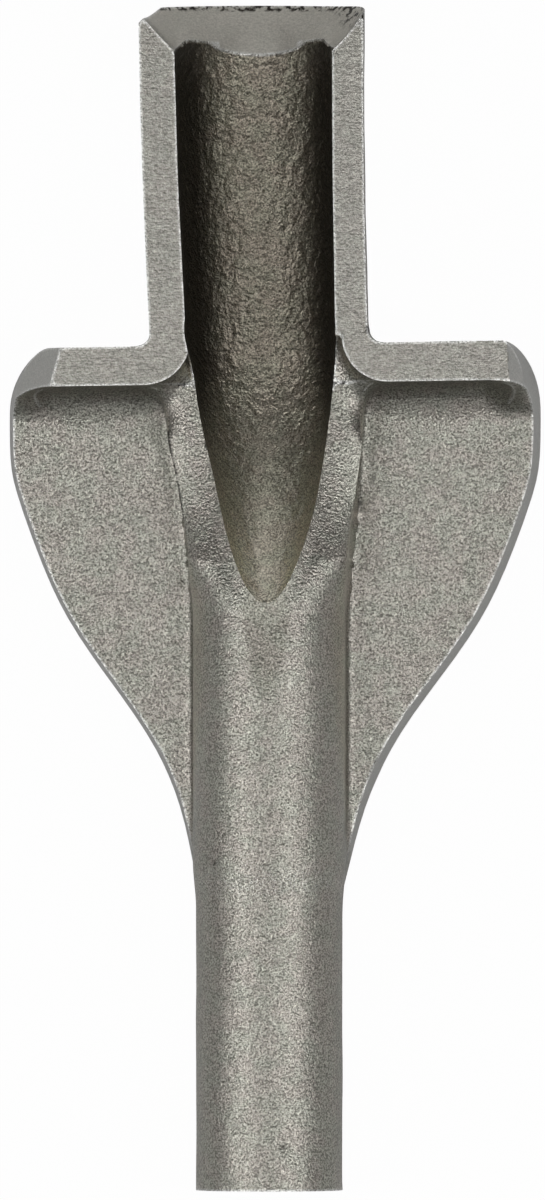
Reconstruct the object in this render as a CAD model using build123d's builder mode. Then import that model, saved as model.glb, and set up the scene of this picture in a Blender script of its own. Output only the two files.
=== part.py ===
from build123d import *
from math import cos, pi, radians, sin, sqrt, tan
import os

# Joint chisel head: one steel forging with a trough-shaped cutting end and two wings.
# Millimetres. X runs across the wings, Y runs along the tool from the end of its shank
# to its cutting edge, and Z points out of the open channel. The origin is the middle of
# the shank's end face.

# Shank and neck
shank_radius = 7.0
shank_length = 27.3
neck_radius = 7.3
neck_swell = 3.5

# Sheet of the wings and of the turned-up shoulders
web = 3.7
floor_level = -1.5
rim_level = 6.0
bend_radius = 3.6

# Wings: the outline runs from the shank out to the widest place and round the corner
left_half_span = 25.1
right_half_span = 25.65
wing_length = 45.5
corner_start = 1.7
corner_length = 6.0
side_draft = 8.5
foot_lead = (0.25, 1)
side_shares = ((0.362, 0.218), (0.4525, 0.331), (0.727, 0.551), (0.866, 0.696), (0.962, 0.844))
foot_thickness = 0.8
foot_run = 12
outline_steps = 8

# Outer corners, where the turned-up edge falls to the plate: the left one is rounder
left_corner_run = 4.4
right_corner_run = 3.2
left_fall_run = 5.0
right_fall_run = 4.6
left_fall_bulge = 0.25
right_fall_bulge = 1.0
left_fall_turn = 16
right_fall_turn = 4
left_pocket_corner = 5.0
right_pocket_corner = 4.2
lip = 0.35
curl_run = 3.6

# Trough
trough_length = 32.2
trough_radius = 10.35
trough_flare = 0.65
left_wall = 3.35
right_wall = 2.95
trough_offset = 1.45
offset_run = 14.5
trough_steps = 4
throat_radius = 1.3
throat_root = 1.5

# Fork: the trough's walls run back into the neck on both sides of the channel
fork_length = 23.8
ridge_crown = 0.4
saddle_rise = 0.1
saddle_corner = 4.4
saddle_bend = 2.2
fork_steps = 5

# Run-out of the channel and the flat landing behind it
runout_length = 25.5
runout_lift = 0.3
runout_ease = 12
runout_shares = (0.005, 0.03, 0.1, 0.22, 0.4, 0.6, 0.8, 0.95, 1.1)
channel_steps = 3
landing_length = 8.6
landing_depth = 0.3

# Cutting edge, ground from inside, and its worn corner
bevel_length = 2.9
bevel_rake = 6
end_rake = 3
edge_land = 0.25
scoop_radius = 6.6
scoop_angle = 33
worn_width = 2.0
worn_length = 1.8

# Reach of a cutting solid past the metal
clear = 10.0

# Stations along the tool
widest_station = shank_length + wing_length
corner_station = widest_station + corner_start
shoulder_station = corner_station + corner_length
wall_station = shoulder_station - web
tip_station = shoulder_station + trough_length
offset_station = shoulder_station - offset_run
fork_start = wall_station - fork_length
runout_end = shoulder_station - runout_length

# Levels
back_level = -neck_radius
plate_back = floor_level - web
arc_level = back_level + trough_radius
saddle_level = arc_level + saddle_rise
above = rim_level + clear

wall = (left_wall + right_wall) / 2
channel_radius = trough_radius - wall
channel_shift = (left_wall - right_wall) / 2
channel_floor = back_level + wall


def middle(station):
    """The trough moves off to the left from the fork on, by a quarter sine wave."""
    share = max(station - offset_station, 0) / (tip_station - offset_station)
    return -trough_offset * sin(share * pi / 2)


def flare(station):
    """The trough is straight up to the shoulders and widens from there to its edge."""
    return max(station - shoulder_station, 0) * tan(radians(trough_flare))


def section_plane(station):
    return Plane.XZ.offset(-station)


def u_section(station, radius, lowest, top_level, shift=0):
    """A half-round floor with straight sides up to a flat top."""
    centre = middle(station) + shift
    spring = lowest + radius
    with BuildSketch(section_plane(station)) as section:
        with BuildLine():
            round_floor = ThreePointArc(
                (centre - radius, spring), (centre, lowest), (centre + radius, spring)
            )
            Polyline(
                round_floor @ 1,
                (centre + radius, top_level),
                (centre - radius, top_level),
                round_floor @ 0,
            )
        make_face()
    return section.sketch


def fork_section(station):
    """The neck's round section opens into the trough's by a quarter cosine wave."""
    opened = 1 - cos((station - fork_start) / fork_length * pi / 2)

    def between(neck_value, trough_value):
        return neck_value + (trough_value - neck_value) * opened

    centre = middle(station)
    half_width = between(neck_radius, trough_radius)
    side_level = between(0, arc_level)
    crown_level = between(neck_radius, arc_level + ridge_crown)
    with BuildSketch(section_plane(station)) as section:
        with BuildLine():
            back = ThreePointArc(
                (centre - half_width, side_level),
                (centre, back_level),
                (centre + half_width, side_level),
            )
            ThreePointArc(back @ 1, (centre, crown_level), back @ 0)
        make_face()
    return section.sketch


def channel_section(station):
    """The channel closes like a parabola, and its floor climbs by a quarter sine wave."""
    share = (station - runout_end) / runout_length
    width_share = sqrt(share / (1 + share**runout_ease) ** (1 / runout_ease))
    height = neck_radius + runout_lift - channel_floor
    climb = height * (1 - sin(min(share, 1) * pi / 2))
    radius = (channel_radius + flare(station)) * width_share
    shift = channel_shift * min(share, 1)
    return u_section(station, radius, channel_floor + climb, above, shift)


def wing_side(half_span):
    """Edge of the plate's back on one side, from the shank to the widest place."""
    places = [
        (half_span * share_out, shank_length + wing_length * share_up)
        for share_out, share_up in side_shares
    ]
    return Spline(
        (shank_radius, shank_length),
        *places,
        (half_span, widest_station),
        tangents=[foot_lead, (0, 1)],
    )


# Block of both wings: its side view, cut to the outline and drafted at the sides
with BuildPart() as wing_block:
    with BuildSketch(Plane.YZ) as side_view:
        with BuildLine():
            Polyline(
                (shank_length, floor_level - foot_thickness),
                (shank_length + foot_run, plate_back),
                (shoulder_station, plate_back),
                (shoulder_station, rim_level),
                (shank_length, rim_level),
                close=True,
            )
        make_face()
        outer_bend = side_view.vertices().sort_by_distance((shoulder_station, plate_back))[0]
        fillet(outer_bend, bend_radius + web)
    extrude(amount=right_half_span, both=True)


def drafted_outline(level):
    """Outline of both wings at a level: its sides draw in upwards by the draft."""
    inset = (level - plate_back) * tan(radians(side_draft))
    sides = ((-1, left_half_span, left_corner_run), (1, right_half_span, right_corner_run))
    with BuildSketch(Plane.XY.offset(level)) as outline:
        for side_sign, half_span, corner_run in sides:
            with BuildLine(mode=Mode.PRIVATE):
                base = wing_side(half_span)
            drawn_in = []
            for step in range(outline_steps):
                along = base % (step / outline_steps)
                place = base @ (step / outline_steps) + Vector(-along.Y, along.X) * inset
                drawn_in.append((side_sign * place.X, place.Y))
            with BuildLine():
                corner = EllipticalCenterArc(
                    (side_sign * (half_span - corner_run), corner_station),
                    corner_run - inset,
                    corner_length,
                    start_angle=90,
                    arc_size=-90 * side_sign,
                )
                edge = Spline(
                    *drawn_in,
                    (side_sign * (half_span - inset), widest_station),
                    tangents=[(side_sign * foot_lead[0], foot_lead[1]), (0, 1)],
                )
                Line(corner @ 1, edge @ 1)
                Polyline(
                    edge @ 0,
                    ((edge @ 0).X, shank_length - clear),
                    (0, shank_length - clear),
                    (0, shoulder_station),
                    corner @ 0,
                )
            make_face()
    return outline.sketch


with BuildPart() as drafted_sides:
    loft(sections=[drafted_outline(plate_back), drafted_outline(rim_level + web)], ruled=True)

# Pocket above the plate, with the bend's inner radius along the shoulder and its corner
curl_end = wall_station - curl_run
with BuildPart() as pocket:
    for side, pocket_corner in (
        (lip - left_half_span, left_pocket_corner),
        (right_half_span - lip, right_pocket_corner),
    ):
        side_sign = side / abs(side)
        with BuildSketch(Plane.XY.offset(floor_level)):
            with BuildLine():
                turn = RadiusArc(
                    (side - side_sign * pocket_corner, wall_station),
                    (side, wall_station - pocket_corner),
                    pocket_corner * side_sign,
                )
                Polyline(
                    turn @ 1,
                    (side + side_sign * clear, wall_station - pocket_corner),
                    (side + side_sign * clear, shank_length - clear),
                    (0, shank_length - clear),
                    (0, wall_station),
                    turn @ 0,
                )
            make_face()
    extrude(amount=above - floor_level)
    fillet(pocket.edges().filter_by(GeomType.CIRCLE).group_by(Axis.Z)[0], bend_radius)

# Fall of the turned-up edge: outwards past the ground rim, and back along the sides
fall_foot = floor_level - web / 2
fall_depth = corner_length + 2 * clear


def edge_fall(reach, fall_run, fall_bulge, fall_turn):
    """Cuts a wing's corner to a slope that faces outwards and a little to the front."""
    side_sign = reach / abs(reach)
    with BuildPart() as fall_cut:
        with BuildSketch(section_plane(wall_station - clear)):
            with BuildLine():
                fall = SagittaArc(
                    (reach - side_sign * fall_run, rim_level),
                    (reach, fall_foot),
                    fall_bulge * side_sign,
                )
                Polyline(
                    fall @ 1,
                    (reach + side_sign * clear, fall_foot),
                    (reach + side_sign * clear, above),
                    (reach - side_sign * fall_run, above),
                    fall @ 0,
                )
            make_face()
        extrude(amount=-fall_depth)
    hinge = Axis((reach - side_sign * fall_run, wall_station + web / 2, 0), (0, 0, 1))
    return fall_cut.part.rotate(hinge, side_sign * fall_turn)


with BuildPart() as edge_curl:
    with BuildSketch(Plane.YZ):
        with BuildLine():
            curl = EllipticalCenterArc(
                (curl_end, rim_level),
                curl_run,
                rim_level - floor_level,
                start_angle=-90,
                arc_size=90,
            )
            Polyline(
                curl @ 1,
                (wall_station, above),
                (shank_length - clear, above),
                (shank_length - clear, floor_level),
                curl @ 0,
            )
        make_face()
    extrude(amount=right_half_span + clear, both=True)

# Trough, and the small fillets in plan where it leaves the shoulders
trough_step = (tip_station - wall_station) / trough_steps
trough_sections = []
for step in range(trough_steps + 1):
    station = wall_station + trough_step * step
    trough_sections.append(
        u_section(station, trough_radius + flare(station), back_level, rim_level)
    )
with BuildPart() as trough:
    loft(sections=trough_sections, ruled=True)

upright_level = plate_back + bend_radius + web
with BuildPart() as throats:
    for side_sign in (-1, 1):
        root = middle(shoulder_station) + side_sign * (trough_radius - throat_root)
        face = middle(shoulder_station) + side_sign * trough_radius
        toe = face + side_sign * throat_radius
        with BuildSketch(Plane.XY.offset(upright_level)):
            with BuildLine():
                hollow = ThreePointArc(
                    (toe, shoulder_station),
                    (
                        toe - side_sign * throat_radius * sin(pi / 4),
                        shoulder_station + throat_radius * (1 - cos(pi / 4)),
                    ),
                    (face, shoulder_station + throat_radius),
                )
                Polyline(
                    hollow @ 1,
                    (root, shoulder_station + throat_radius),
                    (root, shoulder_station - throat_root),
                    (toe, shoulder_station - throat_root),
                    hollow @ 0,
                )
            make_face()
    extrude(amount=rim_level - upright_level)

# Saddle: the rim turns the corner with an even width and drops to the fork behind it
saddle_reach = channel_radius + saddle_corner
with BuildPart() as saddle:
    with BuildSketch(Plane.XY.offset(saddle_level)):
        with Locations((middle(wall_station), 0)):
            with BuildLine():
                right_turn = RadiusArc(
                    (saddle_reach, wall_station),
                    (channel_radius, wall_station + saddle_corner),
                    saddle_corner,
                )
                left_turn = RadiusArc(
                    (-channel_radius, wall_station + saddle_corner),
                    (-saddle_reach, wall_station),
                    saddle_corner,
                )
                Line(right_turn @ 1, left_turn @ 0)
                Polyline(
                    left_turn @ 1,
                    (-saddle_reach, wall_station - clear),
                    (saddle_reach, wall_station - clear),
                    right_turn @ 0,
                )
            make_face()
    extrude(amount=above - saddle_level)
    fillet(
        saddle.edges().filter_by(GeomType.CIRCLE).group_by(Axis.Z)[0],
        saddle_bend,
    )

fork_step = fork_length / fork_steps
with BuildPart() as fork:
    loft(sections=[fork_section(fork_start + fork_step * step) for step in range(fork_steps + 1)])

with BuildPart() as bar:
    with BuildSketch(Plane.XY):
        with BuildLine():
            Polyline(
                (0, 0),
                (shank_radius, 0),
                (shank_radius, shank_length),
                (neck_radius, shank_length + neck_swell),
                (neck_radius, fork_start),
                (0, fork_start),
                close=True,
            )
        make_face()
    revolve(axis=Axis.Y)

# Channel: it runs out between the fork's ridges and is open at the cutting edge
runout_stops = [runout_end + runout_length * share for share in runout_shares]
channel_step = (tip_station + clear - runout_stops[-1]) / channel_steps
channel_stops = [runout_stops[-1] + channel_step * step for step in range(channel_steps + 1)]
with BuildPart() as runout:
    loft(sections=[channel_section(station) for station in runout_stops])

with BuildPart() as channel:
    loft(sections=[channel_section(station) for station in channel_stops], ruled=True)

landing_start = runout_end - landing_length
landing_slope = landing_depth / landing_length
with BuildPart() as landing:
    with BuildSketch(Plane.YZ):
        with BuildLine():
            Polyline(
                (landing_start, neck_radius),
                (landing_start + fork_length, neck_radius - landing_slope * fork_length),
                (landing_start + fork_length, above),
                (landing_start, above),
                close=True,
            )
        make_face()
    extrude(amount=neck_radius, both=True)

# Cutting edge: a hollow cone round the walls and a scoop along the floor
bevel_station = tip_station - bevel_length
bevel_spread = (wall - edge_land) / bevel_length
with BuildPart() as bevel:
    loft(
        sections=[
            u_section(
                bevel_station + run,
                channel_radius + flare(bevel_station) + bevel_spread * run,
                channel_floor - bevel_spread * run,
                above,
                channel_shift,
            )
            for run in (0, bevel_length + wall)
        ],
        ruled=True,
    )

tip_line = Axis((0, tip_station, back_level), (1, 0, 0))
scoop_plane = Plane(
    origin=(middle(tip_station) + channel_shift, tip_station, back_level + edge_land),
    x_dir=(1, 0, 0),
    z_dir=(0, cos(radians(scoop_angle)), -sin(radians(scoop_angle))),
)
with BuildPart() as scoop:
    with BuildSketch(scoop_plane):
        with Locations((0, -scoop_radius)):
            Circle(scoop_radius)
    extrude(amount=clear, both=True)

with BuildPart() as end_cut:
    with BuildSketch(Plane.XY.offset(back_level - clear)):
        with Locations((0, tip_station)):
            Rectangle(right_half_span, clear, align=(Align.CENTER, Align.MIN))
    extrude(amount=above - back_level + clear)

worn_edge = middle(tip_station) - trough_radius - flare(tip_station)
with BuildPart() as worn_corner:
    with BuildSketch(Plane.XY.offset(back_level - clear)):
        with BuildLine():
            Polyline(
                (worn_edge, tip_station - worn_length),
                (worn_edge + worn_width, tip_station),
                (worn_edge, tip_station + clear),
                (worn_edge - clear, tip_station),
                close=True,
            )
        make_face()
    extrude(amount=above - back_level + clear)

with BuildPart() as joint_chisel:
    add(wing_block)
    add(drafted_sides, mode=Mode.INTERSECT)
    add(pocket, mode=Mode.SUBTRACT)
    add(edge_fall(-left_half_span, left_fall_run, left_fall_bulge, left_fall_turn), mode=Mode.SUBTRACT)
    add(edge_fall(right_half_span, right_fall_run, right_fall_bulge, right_fall_turn), mode=Mode.SUBTRACT)
    add(edge_curl, mode=Mode.SUBTRACT)
    add(trough)
    add(throats)
    add(saddle, mode=Mode.SUBTRACT)
    add(fork)
    add(bar)
    add(runout, mode=Mode.SUBTRACT)
    add(channel, mode=Mode.SUBTRACT)
    add(landing, mode=Mode.SUBTRACT)
    add(bevel.part.rotate(tip_line, bevel_rake), mode=Mode.SUBTRACT)
    add(scoop, mode=Mode.SUBTRACT)
    add(end_cut.part.rotate(tip_line, end_rake), mode=Mode.SUBTRACT)
    add(worn_corner, mode=Mode.SUBTRACT)

joint_chisel.part.label = "joint_chisel"
os.makedirs("parts", exist_ok=True)
export_step(joint_chisel.part, "parts/joint_chisel.step")
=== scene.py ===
# %% [markdown]
# # A joint chisel, from the forge to the photograph
#
# A joint chisel cleans the mortar out of a wall's joints. The real one is a single steel
# forging: a round bar that opens into a trough, with a wide wing on each side. This lesson
# takes the exact solid as its base, gives it the skin that forging, grinding and shot
# blasting leave, and then lights it on a pale table. All lengths are in metres, and X runs
# across the wings, Y along the tool to its cutting edge, and Z out of the open trough.

from math import cos, pi, radians, sin, sqrt, tan

import bmesh
import bpy
import numpy as np
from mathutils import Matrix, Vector, bvhtree, kdtree, noise


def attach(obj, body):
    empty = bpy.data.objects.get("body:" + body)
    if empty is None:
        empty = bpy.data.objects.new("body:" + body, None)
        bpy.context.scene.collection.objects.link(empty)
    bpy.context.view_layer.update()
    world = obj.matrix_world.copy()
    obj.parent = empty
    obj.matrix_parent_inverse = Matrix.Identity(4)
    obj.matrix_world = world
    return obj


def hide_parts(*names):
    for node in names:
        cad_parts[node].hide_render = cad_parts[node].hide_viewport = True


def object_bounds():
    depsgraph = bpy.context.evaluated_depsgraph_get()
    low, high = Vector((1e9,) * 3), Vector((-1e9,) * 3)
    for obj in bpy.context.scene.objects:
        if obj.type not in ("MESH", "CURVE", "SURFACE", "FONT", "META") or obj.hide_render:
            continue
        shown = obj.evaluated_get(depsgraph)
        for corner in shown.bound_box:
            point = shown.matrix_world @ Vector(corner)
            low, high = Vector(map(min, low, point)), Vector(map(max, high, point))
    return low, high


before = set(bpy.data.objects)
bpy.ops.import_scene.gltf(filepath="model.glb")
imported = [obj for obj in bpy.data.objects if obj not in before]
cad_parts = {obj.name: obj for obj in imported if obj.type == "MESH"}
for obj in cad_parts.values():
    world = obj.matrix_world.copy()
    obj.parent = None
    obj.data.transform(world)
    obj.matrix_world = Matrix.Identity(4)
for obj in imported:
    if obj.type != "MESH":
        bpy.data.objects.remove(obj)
cad_low, cad_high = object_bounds()
MM = 0.001
print("solid box, mm:", [round(v / MM, 1) for v in (*cad_low, *cad_high)])

# %% [markdown]
# ## Where the camera stands
#
# The photograph looks straight down on the chisel from far away, a little from its right
# side: the outer wall of the trough shows on the right and is hidden on the left. A long
# lens keeps the perspective as weak as it is there. A parallel camera would be simpler, but
# it has no perspective at all. The tool's axis points up the picture.

# %% Camera
VIEW_YAW = radians(3)
CAMERA_DISTANCE = 2500 * MM
PICTURE_HEIGHT = 114.3 * MM
PICTURE_CENTRE = Vector((0.3, 56.2, 0)) * MM
SENSOR_WIDTH = 36
FARTHEST_SEEN = 10

camera_data = bpy.data.cameras.new("camera")
camera = bpy.data.objects.new("camera", camera_data)
bpy.context.scene.collection.objects.link(camera)
camera_data.sensor_width = SENSOR_WIDTH
camera_data.lens = SENSOR_WIDTH * CAMERA_DISTANCE / PICTURE_HEIGHT
camera_data.clip_end = FARTHEST_SEEN
camera.location = PICTURE_CENTRE + CAMERA_DISTANCE * Vector((sin(VIEW_YAW), 0, cos(VIEW_YAW)))
camera.rotation_euler = (0, VIEW_YAW, 0)
bpy.context.scene.camera = camera
print("lens, mm:", round(camera_data.lens))

# %% [markdown]
# ## The creases of the solid
#
# A forging isn't as smooth as a drawing, so the solid will get a fine, even mesh to shape.
# Its creases have to survive that, so they are found first. They could be marked by hand,
# but an angle finds them all: the solid comes as loose triangles, its corners are merged,
# and an edge is a crease where its two faces meet sharply. It is kept as a row of close
# points. Creases that stand out and creases that run inwards are kept apart, because wear
# and a painted highlight brighten the one and painted shade darkens the other.

# %% Crease points
MERGE_DISTANCE = 0.001 * MM
CREASE_ANGLE = radians(26)
CREASE_STEP = 0.1 * MM

solid = bmesh.new()
solid.from_mesh(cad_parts["joint_chisel"].data)
bmesh.ops.remove_doubles(solid, verts=solid.verts, dist=MERGE_DISTANCE)


def crease_points(convex):
    points = []
    for edge in solid.edges:
        if edge.calc_face_angle(0) < CREASE_ANGLE or edge.is_convex != convex:
            continue
        start, end = edge.verts[0].co, edge.verts[1].co
        steps = max(1, round((end - start).length / CREASE_STEP))
        points += [start.lerp(end, step / steps) for step in range(steps + 1)]
    return points


def point_tree(points):
    tree = kdtree.KDTree(len(points))
    for index, point in enumerate(points):
        tree.insert(point, index)
    tree.balance()
    return tree


edge_points = crease_points(convex=True)
root_points = crease_points(convex=False)
edge_tree = point_tree(edge_points)
root_tree = point_tree(root_points)
print("points on edges:", len(edge_points), "points in roots:", len(root_points))

# %% [markdown]
# ## Even cells over the whole body
#
# The solid's own triangles are long and thin, and subdividing them would leave them so. A
# voxel remesh lays cells of one size over the solid, whatever the triangles under it are.
# That is what later steps need: wherever the skin is pressed, there are corners to press.
# A cell of a third of a millimetre shows the lumps of the forging and keeps the piece under
# two hundred thousand triangles.

# %% Remesh
CELL = 0.34 * MM

solid_mesh = bpy.data.meshes.new("solid_copy")
solid.to_mesh(solid_mesh)
skin = bpy.data.objects.new("forged_skin", solid_mesh)
bpy.context.scene.collection.objects.link(skin)
remesh = skin.modifiers.new("even_cells", "REMESH")
remesh.mode = "VOXEL"
remesh.voxel_size = CELL
skin.data = bpy.data.meshes.new_from_object(
    skin.evaluated_get(bpy.context.evaluated_depsgraph_get())
)
skin.modifiers.clear()
print("cells:", len(skin.data.polygons))

# %% [markdown]
# ## Sharp creases again
#
# The remesh rounds every crease off by about half a cell. So each corner near a crease is
# drawn back onto it, and the others settle on the solid. The reach is a little longer on
# the fork's ridges, whose edges would come out ragged, and at the thin cutting edge, where
# a cell is as wide as the steel. A cell with two opposite corners on a crease is split
# along it, so that the crease runs along edges of the mesh. The price is that the mesh isn't
# quite closed: a few dozen of its edges don't have two faces, most of them at triangles
# with hardly any width. They are counted below.

# %% Corners back onto the creases
CREASE_REACH = 0.78 * CELL
RIDGE_REACH = 1.1 * CELL
THIN_EDGE_REACH = 2.2 * CELL
RIDGES_START = 56 * MM
RIDGES_END = 77 * MM
RIDGES_FOOT = 2.5 * MM
THIN_EDGE_START = 111.3 * MM
FOLD_WIDTH = 0.02 * MM

solid_tree = bvhtree.BVHTree.FromBMesh(solid)


def nearest_crease(place):
    edge_place, _, edge_gap = edge_tree.find(place)
    root_place, _, root_gap = root_tree.find(place)
    return (edge_place, edge_gap) if edge_gap < root_gap else (root_place, root_gap)


def crease_reach(place):
    if place.y > THIN_EDGE_START:
        return THIN_EDGE_REACH
    if RIDGES_START < place.y < RIDGES_END and place.z > RIDGES_FOOT:
        return RIDGE_REACH
    return CREASE_REACH


skin_shape = bmesh.new()
skin_shape.from_mesh(skin.data)
on_crease = set()
for corner in skin_shape.verts:
    crease_place, gap = nearest_crease(corner.co)
    if gap < crease_reach(corner.co):
        corner.co = crease_place
        on_crease.add(corner)
    else:
        corner.co = solid_tree.find_nearest(corner.co)[0]
for face in skin_shape.faces[:]:
    first, second, third, fourth = face.verts
    if first in on_crease and third in on_crease:
        bmesh.utils.face_split(face, first, third)
    elif second in on_crease and fourth in on_crease:
        bmesh.utils.face_split(face, second, fourth)
bmesh.ops.remove_doubles(skin_shape, verts=skin_shape.verts, dist=FOLD_WIDTH)
bmesh.ops.dissolve_degenerate(skin_shape, edges=skin_shape.edges, dist=FOLD_WIDTH)
bmesh.ops.triangulate(skin_shape, faces=skin_shape.faces)
skin_shape.to_mesh(skin.data)
print("edges without two faces:", sum(not edge.is_manifold for edge in skin_shape.edges))
skin_shape.free()
print("triangles:", len(skin.data.polygons), "corners on creases:", len(on_crease))

# %% [markdown]
# ## One smooth surface between the creases
#
# The solid's round faces are made of flat facets. A few passes of smoothing, in which each
# free corner moves halfway to the middle of its neighbours, melt them into one surface.
# A Smooth modifier does the same, but would round the creases too, and here their corners
# are pinned. From now on the places of all corners are one array, which is many times
# faster to work on than corner after corner.

# %% Smoothing
SMOOTH_PASSES = 8

corner_count = len(skin.data.vertices)
places = np.array([corner.co for corner in skin.data.vertices], dtype=float)
pinned = np.array([nearest_crease(place)[1] < FOLD_WIDTH for place in places])
pair_list = np.empty(2 * len(skin.data.edges), dtype=np.int32)
skin.data.edges.foreach_get("vertices", pair_list)
pairs = pair_list.reshape(-1, 2)
neighbour_count = np.bincount(pairs.ravel(), minlength=corner_count)[:, None]


def neighbour_mean(values):
    total = np.zeros_like(values)
    for axis in range(values.shape[1]):
        total[:, axis] = np.bincount(pairs[:, 0], values[pairs[:, 1], axis], corner_count)
        total[:, axis] += np.bincount(pairs[:, 1], values[pairs[:, 0], axis], corner_count)
    return total / neighbour_count


for _ in range(SMOOTH_PASSES):
    places = np.where(pinned[:, None], places, (places + neighbour_mean(places)) / 2)
edge_distance = np.array([edge_tree.find(place)[2] for place in places])
root_distance = np.array([root_tree.find(place)[2] for place in places])
print("corners:", corner_count, "pinned:", int(pinned.sum()))

# %% [markdown]
# ## The chisel's own measures
#
# The next steps have to know where on the tool they are. The channel starts in a point at
# the end of its run-out and opens like a parabola until it reaches the shoulders. From the
# fork on, its middle moves a little to the left. Two helpers turn a measure into a share
# from nothing to one, which fades an effect in or out without a step.

# %% Measures
NECK_RADIUS = 7.3 * MM
TROUGH_RADIUS = 10.35 * MM
RIM_LEVEL = 6.0 * MM
WING_FLOOR = -1.5 * MM
WING_START = 27.0 * MM
RUNOUT_END = 55.0 * MM
SHOULDER_STATION = 80.5 * MM
TIP_STATION = 112.7 * MM
CHANNEL_HALF_WIDTH = 7.35 * MM
TROUGH_OFFSET = 1.45 * MM
OFFSET_START = 66.0 * MM


def share_between(values, start, end):
    """Nothing up to the start, one from the end on, and an even rise between them."""
    return np.clip((values - start) / (end - start), 0, 1)


def window(values, low, high, fade):
    """One between the limits, and fading to nothing over a stretch inside them."""
    return np.clip((values - low) / fade, 0, 1) * np.clip((high - values) / fade, 0, 1)


def channel_middle(station):
    return -TROUGH_OFFSET * np.sin(share_between(station, OFFSET_START, TIP_STATION) * pi / 2)


def channel_half_width(station):
    return CHANNEL_HALF_WIDTH * np.sqrt(share_between(station, RUNOUT_END, SHOULDER_STATION))


print("channel's half width at 70 mm, mm:", round(channel_half_width(70 * MM) / MM, 2))

# %% [markdown]
# ## The fork's ridges
#
# Where the trough's walls run back into the neck, trimming has left their tops flatter than
# the solid's round crown. The part of a ridge above its outer shoulder is pressed towards
# the level of the channel's edge, and its side is stretched to match. Sculpting would do
# it too, but a rule keeps both ridges alike and can be changed by one number. The press
# fades in where the channel begins and out again before the saddle, so it leaves no step.

# %% Flatter ridges
FORK_START = 53.0 * MM
FORK_END = 76.8 * MM
FORK_MARGIN = 0.2 * MM
ARC_LEVEL = 3.05 * MM
CROWN_END = 3.45 * MM
FLATTENING = 0.65
CHANNEL_EDGE_FADE = 0.5 * MM
PRESS_IN = 5 * MM
PRESS_OUT = 3 * MM


def ridge_lift(places):
    across, station, height = places.T
    opened = 1 - np.cos(share_between(station, FORK_START, FORK_END) * pi / 2)
    half_width = NECK_RADIUS + (TROUGH_RADIUS - NECK_RADIUS) * opened
    side_level = ARC_LEVEL * opened
    crown_level = NECK_RADIUS + (CROWN_END - NECK_RADIUS) * opened
    channel_share = np.clip(channel_half_width(station) / half_width, 0, 1)
    edge_level = side_level + (crown_level - side_level) * (1 - channel_share**2)
    ridge_height = edge_level - side_level
    top_share = np.clip((edge_level - height) / (ridge_height + MERGE_DISTANCE), 0, 1)
    side_share = np.clip((height - WING_FLOOR) / (side_level - WING_FLOOR), 0, 1)
    lift = FLATTENING * ridge_height * np.where(height > side_level, top_share, side_share)
    from_middle = np.abs(across - channel_middle(station))
    past_channel = from_middle - channel_half_width(station)
    strength = np.clip(past_channel / CHANNEL_EDGE_FADE, 0, 1)
    strength *= from_middle < half_width + FORK_MARGIN
    strength *= share_between(station, RUNOUT_END, RUNOUT_END + PRESS_IN)
    strength *= 1 - share_between(station, FORK_END - PRESS_OUT, FORK_END)
    return lift * strength


lift = ridge_lift(places)
places[:, 2] += lift
print("ridges pressed by up to, mm:", round(np.abs(lift).max() / MM, 2))

# %% [markdown]
# ## Softer bends
#
# Hot steel doesn't fill a sharp corner of the die. Two places come out softer than in the
# solid: the saddle, where a ridge meets the trough's rim, and the bend at the bottom of
# each pocket, where the wing's plate turns up into the shoulder. Many small steps towards
# the neighbours' middle soften a place, and a window along each axis keeps them there.

# %% Saddle and pocket bends
SADDLE_PASSES = 110
SADDLE_ALONG = (70.5 * MM, 79.0 * MM, 3.2 * MM)
SADDLE_HEIGHT = (0.2 * MM, 5.2 * MM, 0.5 * MM)
SADDLE_ACROSS = (7.75 * MM, 12.2 * MM, 0.5 * MM)
BEND_PASSES = 90
BEND_ALONG = (69 * MM, 77.8 * MM, 1.5 * MM)
BEND_HEIGHT = (-2.6 * MM, 3.2 * MM, 0.8 * MM)
BEND_ACROSS = (10.5 * MM, 21 * MM, 2 * MM)
FORK_MIDDLE = -0.6 * MM


def soften(places, share, passes):
    for _ in range(passes):
        places = places + share[:, None] * (neighbour_mean(places) - places) / 2
    return places


from_fork_middle = np.abs(places[:, 0] - FORK_MIDDLE)
saddle = window(places[:, 1], *SADDLE_ALONG) ** 3
saddle *= window(places[:, 2], *SADDLE_HEIGHT) * window(from_fork_middle, *SADDLE_ACROSS)
places = soften(places, saddle, SADDLE_PASSES)
bend = window(places[:, 1], *BEND_ALONG) * window(places[:, 2], *BEND_HEIGHT)
bend *= window(from_fork_middle, *BEND_ACROSS)
places = soften(places, bend, BEND_PASSES)
print("corners softened:", int(((saddle > 0) | (bend > 0)).sum()))

# %% [markdown]
# ## The right shoulder
#
# The right shoulder of the real piece stays flat for longer than the left one before it
# falls away to the wing. Its fall is raised by half a sine wave and cut off at the level
# of the rims. Unlike a plain move outwards, that leaves the foot of the fall in place.

# %% Right shoulder
FALL_START = 20.4 * MM
FALL_END = 25.3 * MM
FALL_BACK = 70 * MM
FALL_HEIGHT = 3 * MM
FALL_BULGE = 2.2 * MM

fall_share = share_between(places[:, 0], FALL_START, FALL_END)
raised = share_between(places[:, 2], WING_FLOOR, WING_FLOOR + FALL_HEIGHT)
raised *= places[:, 1] > FALL_BACK
places[:, 2] += FALL_BULGE * np.sin(pi * fall_share) * raised
places[:, 2] = np.where(fall_share > 0, np.minimum(places[:, 2], RIM_LEVEL), places[:, 2])
print("corners on the right fall:", int(((fall_share > 0) & (raised > 0)).sum()))

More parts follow.
